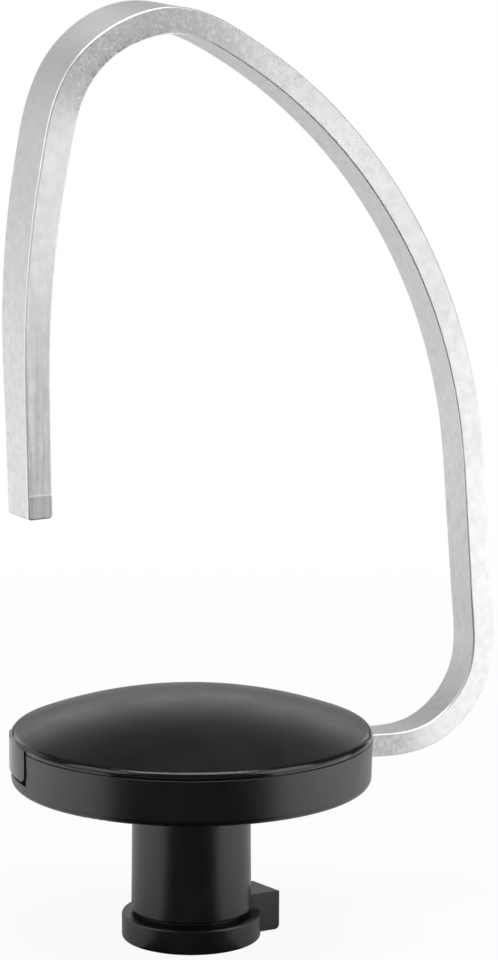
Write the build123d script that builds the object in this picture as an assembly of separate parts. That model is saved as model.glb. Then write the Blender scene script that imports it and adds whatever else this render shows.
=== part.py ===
from build123d import *
import math
import os

# Stand mixer dough hook: a bent metal bar fixed in a round dough guard on a drive stem.
# Millimetres and degrees. +Z runs up the stem's axis towards the hook, the hook's bend lies in the
# XZ plane, the bar leaves the guard on +X, and the origin is the centre of the stem's end face.

# Drive stem
collar_d = 23.4           # locking collar at the free end
collar_h = 4.3
groove_h = 0.6            # retaining groove between collar and stem
groove_depth = 1.1        # into the stem, on the radius
stem_d = 20.2             # beside the groove
stem_draft = 0.2          # how much thinner the stem is at the guard, on the radius
collar_round = 0.45
stem_end_round = 0.3

# Driving lug on the collar
lug_reach = 2.95          # out of the collar
lug_w = 9.0
lug_lift = 0.1            # its lower face above the stem's end face
lug_h = 6.85              # on its -Y side
lug_fall = 0.65           # of its top, from the -Y side to the +Y side
lug_foot_round = 0.9      # of its lower outer edge
lug_round = 0.4           # of its other outer edges

# Guard housing, the lower half of the round dough guard
guard_z = 26.93           # underside of the guard
guard_d = 60.5            # at the seam with the cap
rim_draft = 0.15          # how much narrower the rim is at its foot, on the radius
rim_h = 7.85
rim_round = 1.1
rim_wall = 2.0
floor_t = 2.0
hub_d = 20.0              # block round the bar's inner end
hub_cover = 1.2           # of the block over the bar
hub_end_wall = 4.3        # of the block behind the bar's inner end
seam_chamfer = 0.25

# Guard cap, the domed upper half
dome_rise = 5.95
cap_wall = 1.8
cap_edge_h = 0.9          # height of the cap's edge below the dome
cap_edge_round = 1.1
lip_h = 1.6               # locating lip inside the rim
lip_wall = 1.3
lip_fit = 0.1

# Snap tab of the cap, in a recess of the rim
tab_angle = 163.5         # about the axis, from the bar
tab_w = 15.4
tab_l = 5.0
tab_t = 1.2
tab_corner_r = 1.5        # of its lower corners
tab_proud = 0.2           # of the rim's face
tab_fit = 0.06
tab_foot_gap = 0.6        # window left open under the tab

# Hook bar, along its own line from the rim to the tip
bar_lift = 0.68           # the bar's lower face above the guard's underside, at the rim
bar_dip = 2.4             # slope of the bar where it leaves the guard
bar_fit = 0.05
root_length = 8.5         # straight run out of the rim
bend_r = 16.1
bend_angle = 97.3
leg_length = 30.85
rise_r = 90.9             # long bow of the far leg
rise_angle = 59.5
arch_r = 19.2
arch_angle = 101.7
near_leg_r = 157.0
near_leg_angle = 15.3
tip_length = 21.15        # straight run down towards the tip
tip_end = 2.0             # even end of the bar below it

# The bar's width across the hook's plane, at the rim and then along its line
root_w = 6.35
leg_w = 7.85              # end of the straight leg
arch_w = 7.7              # start of the arch
crown_w = 8.5             # middle of the arch
shoulder_w = 8.25         # end of the arch
tip_w = 7.6

# Its thickness in the hook's plane, at the same places
root_t = 4.1
leg_t = 3.95
arch_t = 4.25
crown_t = 4.75
shoulder_t = 5.2
tip_t = 4.5

# Its turn about its own line, none at the rim and the tip
leg_turn = 4.4
arch_turn = -1.1
crown_turn = 11.4
shoulder_turn = 6.9

bar_corner_r = 0.32
tip_round = 0.7           # of the end's edges across the bar
section_spacing = 7.0     # between the sections that the bar is drawn through
edge_match = 0.01         # how closely an edge that is picked has to lie to its size

# Worked out
groove_top = collar_h + groove_h
collar_r = collar_d / 2
stem_r = stem_d / 2
neck_r = stem_r - groove_depth
seam_z = guard_z + rim_h
rim_r = guard_d / 2
rim_foot_r = rim_r - rim_draft
rim_inner_r = rim_r - rim_wall
floor_z = guard_z + floor_t
hub_r = hub_d / 2
dip = math.radians(bar_dip)
inner_x = hub_end_wall - hub_r
bar_embed = (rim_r - inner_x) / math.cos(dip)
root_z = guard_z + bar_lift + root_t / 2 / math.cos(dip)
inner_z = root_z + bar_embed * math.sin(dip)
hub_top = inner_z + root_t / 2 + hub_cover
dome_r = (rim_r**2 + dome_rise**2) / (2 * dome_rise)
edge_z = seam_z + cap_edge_h
dome_z = edge_z + dome_rise


def revolved(*outline):
    """Solid of an outline of radius and height, turned about the stem's axis."""
    return revolve(Plane.XZ * make_face(Polyline(*outline, close=True)), Axis.Z)


def rings(solid, radius, height):
    """Circular edges of that radius and height on the stem's axis."""
    circles = solid.edges().filter_by(GeomType.CIRCLE)
    return [edge for edge in circles
            if abs(edge.radius - radius) < edge_match and abs(edge.arc_center.Z - height) < edge_match]


def drop(radius, sphere_r):
    """How far a sphere has fallen from its top at that radius."""
    return sphere_r - math.sqrt(sphere_r**2 - radius**2)


def blended(distance, places, values):
    """Value at a distance along the bar, eased from each named place to the next."""
    for start, end, first, last in zip(places, places[1:], values, values[1:]):
        if distance <= end:
            share = (distance - start) / (end - start)
            return first + (last - first) * share**2 * (3 - 2 * share)
    return values[-1]


def make_lug():
    """Block with a sloping top that stands out of the collar on +X and turns the hook."""
    half_w = lug_w / 2
    lug_top = lug_lift + lug_h
    outline = Polyline((-half_w, lug_lift), (half_w, lug_lift), (half_w, lug_top - lug_fall),
                       (-half_w, lug_top), close=True)
    lug = extrude(Plane.YZ * make_face(outline), amount=collar_r + lug_reach)
    outer = lug.faces().sort_by(Axis.X)[-1]
    lug = fillet(outer.edges().sort_by(Axis.Z)[0], lug_foot_round)
    outer = lug.faces().sort_by(Axis.X)[-1]
    return fillet(outer.edges().sort_by(Axis.Z)[1:], lug_round)


def tab_block(inner_r, outer_r, width, bottom_z, top_z):
    """Curved plate between two radii, as wide as given, at the tab's angle about the axis."""
    ring = Cylinder(outer_r, top_z - bottom_z) - Cylinder(inner_r, top_z - bottom_z)
    cut = Box(2 * outer_r, width, top_z - bottom_z, align=(Align.MIN, Align.CENTER, Align.CENTER))
    return Rot(0, 0, tab_angle) * Pos(0, 0, (bottom_z + top_z) / 2) * (ring & cut)


def inner_run(clearance):
    """The bar's straight end inside the guard, grown by a clearance all round."""
    along = Vector(math.cos(dip), 0, -math.sin(dip))
    plane = Plane((inner_x, 0, inner_z), x_dir=(-math.sin(dip), 0, -math.cos(dip)), z_dir=along)
    plane = plane.offset(-clearance)
    shape = plane * RectangleRounded(root_t + 2 * clearance, root_w + 2 * clearance, bar_corner_r + clearance)
    return shape, along


def make_housing():
    """Stem, collar, lug, floor, rim and hub, moulded in one."""
    housing = revolved(
        (0, 0), (collar_r, 0), (collar_r, collar_h), (neck_r, collar_h), (neck_r, groove_top),
        (stem_r, groove_top), (stem_r - stem_draft, guard_z), (rim_foot_r, guard_z), (rim_r, seam_z),
        (rim_inner_r, seam_z), (rim_inner_r, floor_z), (hub_r, floor_z), (hub_r, hub_top), (0, hub_top))
    collar_edges = rings(housing, collar_r, 0) + rings(housing, collar_r, collar_h)
    housing = fillet(collar_edges, collar_round)
    housing = fillet(rings(housing, stem_r, groove_top), stem_end_round)
    housing = fillet(rings(housing, rim_foot_r, guard_z), rim_round)
    housing = chamfer(rings(housing, rim_r, seam_z), seam_chamfer)
    housing += make_lug()
    housing -= tab_block(rim_r - tab_t - tab_fit, rim_r + rim_wall, tab_w + 2 * tab_fit,
                         seam_z - tab_l - tab_foot_gap, seam_z + tab_l)
    pocket, along = inner_run(bar_fit)
    return housing - extrude(pocket, amount=bar_embed + rim_wall, dir=along)


def make_cap():
    """Domed shell with a locating lip and a snap tab."""
    half_r = rim_r / 2
    outline = [Line((0, seam_z), (rim_r, seam_z)), Line((rim_r, seam_z), (rim_r, edge_z)),
               ThreePointArc((rim_r, edge_z), (half_r, dome_z - drop(half_r, dome_r)), (0, dome_z)),
               Line((0, dome_z), (0, seam_z))]
    cap = revolve(Plane.XZ * make_face(outline), Axis.Z)
    cap = fillet(rings(cap, rim_r, edge_z), cap_edge_round)

    lip_z = seam_z - lip_h
    lip_r = rim_inner_r - lip_fit
    hollow_r = lip_r - lip_wall
    inner_dome_r = dome_r - cap_wall
    hollow_top = dome_z - cap_wall
    hollow_edge = hollow_top - drop(hollow_r, inner_dome_r)
    cap += revolved((hollow_r, lip_z), (lip_r, lip_z), (lip_r, edge_z), (hollow_r, edge_z))
    hollow = [Line((0, lip_z), (hollow_r, lip_z)), Line((hollow_r, lip_z), (hollow_r, hollow_edge)),
              ThreePointArc((hollow_r, hollow_edge),
                            (hollow_r / 2, hollow_top - drop(hollow_r / 2, inner_dome_r)), (0, hollow_top)),
              Line((0, hollow_top), (0, lip_z))]
    cap -= revolve(Plane.XZ * make_face(hollow), Axis.Z)
    tab = tab_block(rim_r - tab_t, rim_r + tab_proud, tab_w, seam_z - tab_l, seam_z + cap_edge_h / 2)
    foot = tab.faces().sort_by(Axis.Z)[0]
    return cap + fillet(foot.edges().filter_by(GeomType.LINE), tab_corner_r)


def make_tip(plane):
    """The bar's end below a plane across it, rounded towards the end face."""
    tip = extrude(plane * Rectangle(tip_t, tip_w), amount=tip_end)
    end_edges = tip.edges().filter_by(Axis.Y).sort_by_distance(plane.origin)[2:]
    tip = fillet(end_edges, tip_round)
    sides = tip.faces().filter_by(Axis.Y)
    rims = [edge for edge in sides.edges() if abs(plane.to_local_coords(edge.center()).Z) > edge_match]
    return fillet(rims, bar_corner_r)


def make_bar():
    """Bar bent in the XZ plane, drawn through rounded rectangles along its line."""
    start = Vector(rim_r, root_z)
    root_run = Line(start, start + Vector(math.cos(dip), -math.sin(dip)) * root_length)
    bend = JernArc(root_run @ 1, root_run % 1, bend_r, bend_angle)
    leg = Line(bend @ 1, bend @ 1 + (bend % 1) * leg_length)
    rise = JernArc(leg @ 1, leg % 1, rise_r, rise_angle)
    arch = JernArc(rise @ 1, rise % 1, arch_r, arch_angle)
    near_leg = JernArc(arch @ 1, arch % 1, near_leg_r, near_leg_angle)
    tip_run = Line(near_leg @ 1, near_leg @ 1 + (near_leg % 1) * tip_length)
    pieces = [root_run, bend, leg, rise, arch, near_leg, tip_run]

    ends = [sum(p.length for p in pieces[:count]) for count in range(len(pieces) + 1)]
    places = [0, ends[3], ends[4], ends[4] + arch.length / 2, ends[5], ends[7]]
    widths = [root_w, leg_w, arch_w, crown_w, shoulder_w, tip_w]
    thicknesses = [root_t, leg_t, arch_t, crown_t, shoulder_t, tip_t]
    turns = [0, leg_turn, arch_turn, crown_turn, shoulder_turn, 0]

    sections = []
    for piece, begun in zip(pieces, ends):
        steps = math.ceil(piece.length / section_spacing)
        for step in range(steps + (piece is tip_run)):
            share = step / steps
            distance = begun + share * piece.length
            place, along = piece @ share, piece % share
            turn = math.radians(blended(distance, places, turns))
            outward = Vector(along.Y * math.cos(turn), -math.sin(turn), -along.X * math.cos(turn))
            plane = Plane((place.X, 0, place.Y), x_dir=outward, z_dir=(along.X, 0, along.Y))
            width = blended(distance, places, widths)
            thickness = blended(distance, places, thicknesses)
            sections.append(plane * RectangleRounded(thickness, width, bar_corner_r))
    bar = loft(sections) + make_tip(plane)
    end, along = inner_run(0)
    return bar + extrude(end, amount=bar_embed, dir=along)


os.makedirs("parts", exist_ok=True)
export_step(make_housing(), "parts/guard_housing.step")
export_step(make_cap(), "parts/guard_cap.step")
export_step(make_bar(), "parts/hook_bar.step")
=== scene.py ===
import math

import bmesh
import bpy
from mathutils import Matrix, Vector

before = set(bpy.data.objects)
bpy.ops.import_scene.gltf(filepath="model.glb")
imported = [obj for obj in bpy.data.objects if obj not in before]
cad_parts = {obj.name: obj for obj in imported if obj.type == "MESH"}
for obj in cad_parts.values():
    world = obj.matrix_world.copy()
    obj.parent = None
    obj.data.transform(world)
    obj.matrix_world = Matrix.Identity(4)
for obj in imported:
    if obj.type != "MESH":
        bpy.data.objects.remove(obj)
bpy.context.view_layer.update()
scene = bpy.context.scene
scene.view_settings.view_transform = "Standard"
MM = 0.001


def linear(hex_code):
    """Linear colour of an sRGB hex value."""
    parts = [int(hex_code[i:i + 2], 16) / 255 for i in (1, 3, 5)]
    return tuple(c / 12.92 if c <= 0.04045 else ((c + 0.055) / 1.055)**2.4 for c in parts) + (1.0,)


def per_metre(size_mm):
    """Scale of a pattern whose features are that many millimetres apart."""
    return 1 / (size_mm * MM)


def add(tree, kind, links, **settings):
    """Node of a kind with its settings, its inputs given a value or linked from a socket or a node."""
    node = tree.nodes.new("ShaderNode" + kind)
    for name, value in settings.items():
        setattr(node, name, value)
    for name, value in links.items():
        if isinstance(value, bpy.types.Node):
            value = next(socket for socket in value.outputs if socket.enabled)
        if isinstance(value, bpy.types.NodeSocket):
            tree.links.new(value, node.inputs[name])
        else:
            node.inputs[name].default_value = value
    return node


def new_material(name):
    """Empty node material and its tree."""
    material = bpy.data.materials.new(name)
    material.use_nodes = True
    material.node_tree.nodes.clear()
    return material, material.node_tree


def strip_mottle_and_painted_light(tree, place, flecks, grit, strokes):
    """How dark the strip's sides are painted: mottled at its arch, with painted shade along its run out of
    the guard and at its tip, streaked on its free leg, and with a painted highlight as a brighter line
    above its tip.
    """
    blotches = add(tree, "MapRange", {"Value": flecks, "From Min": 0.36, "From Max": 0.56, "To Min": 0.62},
                   interpolation_type="SMOOTHSTEP")
    specks = add(tree, "MapRange", {"Value": grit, "From Min": 0.42, "From Max": 0.62},
                 interpolation_type="SMOOTHSTEP")
    streaks = add(tree, "MapRange", {"Value": strokes, "From Min": 0.62, "From Max": 0.40},
                  interpolation_type="SMOOTHSTEP")
    at = add(tree, "SeparateXYZ", {"Vector": place}).outputs
    x, z = at["X"], at["Z"]
    arch_centre = Vector((-6.8, 0.0, 134.4))
    arch_radius = add(tree, "VectorMath", {0: place, 1: arch_centre * MM}, operation="DISTANCE")

    # Limits of the zones in millimetres: what is measured, where the zone begins and where it is full
    arch = (z, 134, 146)
    arch_left = (x, 18, -4)
    arch_inside = (arch_radius, 18.4, 16.6)
    run_at_guard = (x, 48, 36)
    low_at_guard = (z, 42, 34)
    free_leg = (x, 0, -10)
    leg_foot = (z, 125, 90)
    tip_line = 78.1
    tip = (z, tip_line, tip_line - 0.2)
    over_line = (z, tip_line, tip_line + 0.1)
    below_line_top = (z, tip_line + 0.4, tip_line + 0.3)

    # How dark each zone is painted, in which pattern and within which limits; the line above the tip is
    # brighter, a painted highlight
    zones = (
        (0.35, blotches, (arch,)),
        (0.65, blotches, (arch, arch_left)),
        (0.23, specks, (arch, arch_inside)),
        (0.42, specks, (arch, arch_inside, arch_left)),
        # Painted shade where the strip runs out of the guard, over its mottle
        (1.0, blotches, (run_at_guard, low_at_guard)),
        (0.45, streaks, (free_leg, leg_foot)),
        # Painted shade at the tip's end, and a painted highlight as a brighter line just above it
        (0.30, 1.0, (free_leg, tip)),
        (-0.5, 1.0, (free_leg, over_line, below_line_top)))
    mottle_and_painted_light = 0.0
    for strength, pattern, limits in zones:
        for measure, start, end in limits:
            fade = add(tree, "MapRange", {"Value": measure, "From Min": start * MM, "From Max": end * MM},
                       interpolation_type="SMOOTHSTEP")
            pattern = add(tree, "Math", {0: pattern, 1: fade}, operation="MULTIPLY")
        mottle_and_painted_light = add(tree, "Math", {0: pattern, 1: strength, 2: mottle_and_painted_light}, operation="MULTIPLY_ADD")
    return mottle_and_painted_light


# Stainless strip, bent cold and tumbled in grit: satin and silvery with soft clouds; its sides are darker
# and mottled at the arch, with painted shade where it runs out of the guard and at the tip and a painted
# highlight just above the tip, streaked darker along the free leg, and painted nearly white along the worn
# corners, which is wear together with a painted highlight
def tumbled_stainless_steel():
    material, tree = new_material("tumbled_stainless_steel")
    spot = add(tree, "TexCoord", {}).outputs
    place = spot["Object"]
    drawn = add(tree, "Mapping", {"Vector": place, "Scale": (1.0, 1.0, 0.06)})

    # Tumbling grit is finer than a tenth of a millimetre; its dents and flecks are drawn coarser, to show
    clouds, flecks, grit, strokes = [
        add(tree, "TexNoise", {"Vector": vector, "Scale": per_metre(size_mm), "Detail": detail,
                               "Roughness": roughness})
        for vector, size_mm, detail, roughness in (
            (place, 1.6, 5.0, 0.62), (place, 0.6, 3.0, 0.7),
            (place, 0.45, 3.0, 0.6), (drawn, 1.1, 4.0, 0.65))]

    # The strip's faces look along or across the hook's plane, and its rounded corners in between
    facing_y = add(tree, "SeparateXYZ", {"Vector": spot["Normal"]}).outputs["Y"]
    across = add(tree, "Math", {0: facing_y}, operation="ABSOLUTE")
    side, past_face, before_side = [
        add(tree, "MapRange", {"Value": across, "From Min": start, "From Max": end},
            interpolation_type="SMOOTHSTEP")
        for start, end in ((0.80, 0.95), (0.30, 0.50), (0.97, 0.85))]
    corner = add(tree, "Math", {0: past_face, 1: before_side}, operation="MULTIPLY")
    mottle_and_painted_light = strip_mottle_and_painted_light(tree, place, flecks, grit, strokes)
    mottle_and_painted_light = add(tree, "Math", {0: mottle_and_painted_light, 1: side}, operation="MULTIPLY")

    tone = add(tree, "MapRange", {"Value": clouds, "From Min": 0.30, "From Max": 0.62})
    shade = add(tree, "Mix", {"Factor": tone, "A": linear("#dadad9"), "B": linear("#e4e4e3")},
                data_type="RGBA")
    # Sides painted towards a darker grey in mottle and painted shade, and brighter in the painted
    # highlight above the tip
    shade = add(tree, "Mix", {"Factor": mottle_and_painted_light, "A": shade, "B": linear("#b0b0af")},
                data_type="RGBA", clamp_factor=False)
    # Painted highlight: the worn corners are painted nearly white
    shade = add(tree, "Mix", {"Factor": corner, "A": shade, "B": linear("#fbfbfa")}, data_type="RGBA")

    # Roughness of the faces, from cloud to cloud, and of the worn corners
    dull_satin, bright_satin, worn = 0.59, 0.51, 0.35
    gloss = add(tree, "MapRange", {"Value": clouds, "From Min": 0.3, "From Max": 0.7,
                                   "To Min": dull_satin, "To Max": bright_satin})
    gloss = add(tree, "Mix", {"Factor": corner, "A": gloss, "B": worn})
    dents = add(tree, "Bump", {"Height": grit, "Strength": 0.25, "Distance": 0.03 * MM})
    steel = add(tree, "BsdfPrincipled", {"Base Color": shade, "Metallic": 1.0, "Roughness": gloss,
                                         "Normal": dents})
    add(tree, "OutputMaterial", {"Surface": steel})
    return material


# Black polyamide, injection moulded: deep black with faint flow clouds under a satin skin, and a crisp
# light along an edge where the tool was polished; the tool's grain is finer and is drawn coarser, to show
def moulded_black_polyamide(name, dark, light, grain_mm, grain_height_mm, smooth, dull, ior,
                            polished_from_mm=None):
    material, tree = new_material(name)
    flow_cloud_mm = 6.0
    polish_fade_mm = 0.6
    polished_roughness = 0.14
    place = add(tree, "TexCoord", {}).outputs["Object"]
    clouds = add(tree, "TexNoise", {"Vector": place, "Scale": per_metre(flow_cloud_mm), "Detail": 3.0})
    grain = add(tree, "TexNoise", {"Vector": place, "Scale": per_metre(grain_mm), "Detail": 2.0})
    tone = add(tree, "MapRange", {"Value": clouds, "From Min": 0.35, "From Max": 0.65})
    shade = add(tree, "Mix", {"Factor": tone, "A": linear(dark), "B": linear(light)}, data_type="RGBA")
    gloss = add(tree, "Mix", {"Factor": tone, "A": smooth, "B": dull})
    if polished_from_mm:
        flat = add(tree, "VectorMath", {0: place, 1: (1, 1, 0)}, operation="MULTIPLY")
        from_axis = add(tree, "VectorMath", {0: flat}, operation="LENGTH")
        polish = add(tree, "MapRange", {"Value": from_axis, "From Max": polished_from_mm * MM,
                                        "From Min": (polished_from_mm - polish_fade_mm) * MM},
                     interpolation_type="SMOOTHSTEP")
        gloss = add(tree, "Mix", {"Factor": polish, "A": gloss, "B": polished_roughness})
    skin = add(tree, "Bump", {"Height": grain, "Strength": 0.3, "Distance": grain_height_mm * MM})
    polyamide = add(tree, "BsdfPrincipled", {"Base Color": shade, "Roughness": gloss, "IOR": ior,
                                             "Normal": skin})
    add(tree, "OutputMaterial", {"Surface": polyamide})
    return material


finishes = {
    "hook_bar": tumbled_stainless_steel(),
    "guard_housing": moulded_black_polyamide(
        "satin_black_polyamide", dark="#0a0a0b", light="#0e0e0f", grain_mm=0.30, grain_height_mm=0.01,
        smooth=0.33, dull=0.37, ior=1.6),
    "guard_cap": moulded_black_polyamide(
        "grained_black_polyamide", dark="#0b0b0c", light="#101011", grain_mm=0.25, grain_height_mm=0.02,
        smooth=0.31, dull=0.36, ior=1.5, polished_from_mm=29.8),
}
for name, finish in finishes.items():
    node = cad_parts[name]
    node.data.materials.clear()
    node.data.materials.append(finish)

# Camera at the photo's angle: its place in metres and its turn in degrees
camera_place = (-0.261766, -0.494300, 0.174141)
camera_turn = (80.2387, -0.2628, -28.8212)
camera = bpy.data.objects.new("camera", bpy.data.cameras.new("camera"))
camera.data.lens = 129.025
camera.data.sensor_width = 36.0
camera.data.clip_start = 0.01
camera.data.clip_end = 50.0
camera.location = camera_place
camera.rotation_euler = [math.radians(degrees) for degrees in camera_turn]
scene.collection.objects.link(camera)
scene.camera = camera

# Directions about the stem's axis as the camera sees them
towards_camera = Vector((camera_place[0], camera_place[1], 0)).normalized()
camera_right = Vector((-towards_camera.y, towards_camera.x, 0))


def around(angle, distance, height):
    """Point at an angle to the right of the camera's direction, about the axis, in metres."""
    turn = math.radians(angle)
    level = (towards_camera * math.cos(turn) + camera_right * math.sin(turn)) * distance
    return level + Vector((0, 0, height))


def softbox(name, angle, distance, height, target_height, wide, tall, radiance):
    """Area lamp with an even glow, at a place about the axis, that shines at a height on the axis."""
    light = bpy.data.lights.new(name, "AREA")
    light.shape = "RECTANGLE"
    light.size, light.size_y = wide, tall
    light.energy = radiance * math.pi * wide * tall
    lamp = bpy.data.objects.new(name, light)
    place = around(angle, distance, height)
    lamp.location = place
    lamp.rotation_euler = (place - Vector((0, 0, target_height))).to_track_quat("Z", "Y").to_euler()
    scene.collection.objects.link(lamp)


def stage_piece(name, form, paint):
    """Object of the studio from a bmesh, with its paint."""
    mesh = bpy.data.meshes.new(name)
    form.to_mesh(mesh)
    form.free()
    mesh.materials.append(paint)
    piece = bpy.data.objects.new(name, mesh)
    scene.collection.objects.link(piece)
    return piece


# Soft light, in metres and degrees: low and high on both sides, behind, above, and as a low strip far in
# front for the bar's corners
softbox("left_strip", angle=-80, distance=0.13, height=0.03, target_height=0.03,
        wide=0.16, tall=0.06, radiance=0.70)
softbox("right_strip", angle=78, distance=0.15, height=0.04, target_height=0.04,
        wide=0.18, tall=0.08, radiance=1.15)
softbox("left_panel", angle=-65, distance=0.30, height=0.25, target_height=0.035,
        wide=0.25, tall=0.25, radiance=1.6)
softbox("right_panel", angle=65, distance=0.30, height=0.25, target_height=0.035,
        wide=0.25, tall=0.25, radiance=2.1)
softbox("left_back_panel", angle=-130, distance=0.35, height=0.13, target_height=0.08,
        wide=0.28, tall=0.24, radiance=0.60)
softbox("back_strip", angle=180, distance=0.50, height=0.20, target_height=0.06,
        wide=0.60, tall=0.14, radiance=1.05)
softbox("top_panel", angle=0, distance=0.06, height=0.50, target_height=0.04,
        wide=0.40, tall=0.26, radiance=4.2)
softbox("front_strip", angle=-8, distance=0.75, height=0.045, target_height=0.09,
        wide=1.0, tall=0.08, radiance=2.1)

# Pale floor of white paper, in metres: white to the camera and far out in reflections, less so near the
# hook, where it keeps the shadow
floor_half_width = 8.0
shadow_from, shadow_to, glow_in_shadow = 0.05, 0.40, 0.92
mirror_from, mirror_to, glow_in_mirror = 0.30, 0.50, 0.28
paper_paint, tree = new_material("white_paper")
path = add(tree, "LightPath", {}).outputs
away = add(tree, "VectorMath", {0: add(tree, "TexCoord", {}).outputs["Object"]}, operation="LENGTH")
seen = add(tree, "MapRange", {"Value": away, "From Min": shadow_from, "From Max": shadow_to,
                              "To Min": glow_in_shadow}, interpolation_type="SMOOTHSTEP")
mirrored = add(tree, "MapRange", {"Value": away, "From Min": mirror_from, "From Max": mirror_to,
                                  "To Min": glow_in_mirror}, interpolation_type="SMOOTHSTEP")
in_pieces = add(tree, "Math", {0: path["Is Glossy Ray"], 1: path["Is Transmission Ray"]},
                operation="MAXIMUM")
in_pieces = add(tree, "Math", {0: in_pieces, 1: mirrored}, operation="MULTIPLY")
share = add(tree, "Math", {0: path["Is Camera Ray"], 1: seen, 2: in_pieces}, operation="MULTIPLY_ADD")
paper = add(tree, "BsdfDiffuse", {"Color": linear("#f2f2f2")})
glow = add(tree, "Emission", {"Color": linear("#ffffff"), "Strength": 1.0})
add(tree, "OutputMaterial", {"Surface": add(tree, "MixShader", {0: share, 1: paper, 2: glow})})
form = bmesh.new()
bmesh.ops.create_grid(form, x_segments=1, y_segments=1, size=floor_half_width)
stage_piece("floor", form, paper_paint)

# Black card in front, seen only in reflections, that keeps the middle of the black mouldings deep: it lies
# from just inside the collar's edge outwards and stands up at its far end, in metres and degrees
card_half_angle = 47
card_inner, card_outer = 0.0113, 0.30
card_lift, card_top = 0.0002, 0.05
card_outlines = {
    "lying_card": ((card_inner, card_lift), (card_outer, card_lift)),
    "standing_card": ((card_outer, card_lift), (card_outer, card_top)),
}
card_paint, tree = new_material("black_card")
add(tree, "OutputMaterial", {"Surface": add(tree, "BsdfDiffuse", {"Color": linear("#0a0a0a")})})
for name, outline in card_outlines.items():
    form = bmesh.new()
    ends = [form.verts.new(around(-card_half_angle, radius, height)) for radius, height in outline]
    bmesh.ops.spin(form, geom=ends + [form.edges.new(ends)], cent=(0, 0, 0), axis=(0, 0, 1),
                   angle=math.radians(2 * card_half_angle), steps=24)
    piece = stage_piece(name, form, card_paint)
    piece.visible_camera = piece.visible_diffuse = False
    piece.visible_shadow = piece.visible_transmission = False

# Dim room, white where the camera looks past the floor
room_level = 0.12
room = bpy.data.worlds.new("studio")
scene.world = room
room.use_nodes = True
tree = room.node_tree
tree.nodes.clear()
path = add(tree, "LightPath", {}).outputs
level = add(tree, "Math", {0: path["Is Camera Ray"], 1: room_level}, operation="MAXIMUM")
air = add(tree, "Background", {"Color": linear("#ffffff"), "Strength": level})
add(tree, "OutputWorld", {"Surface": air})
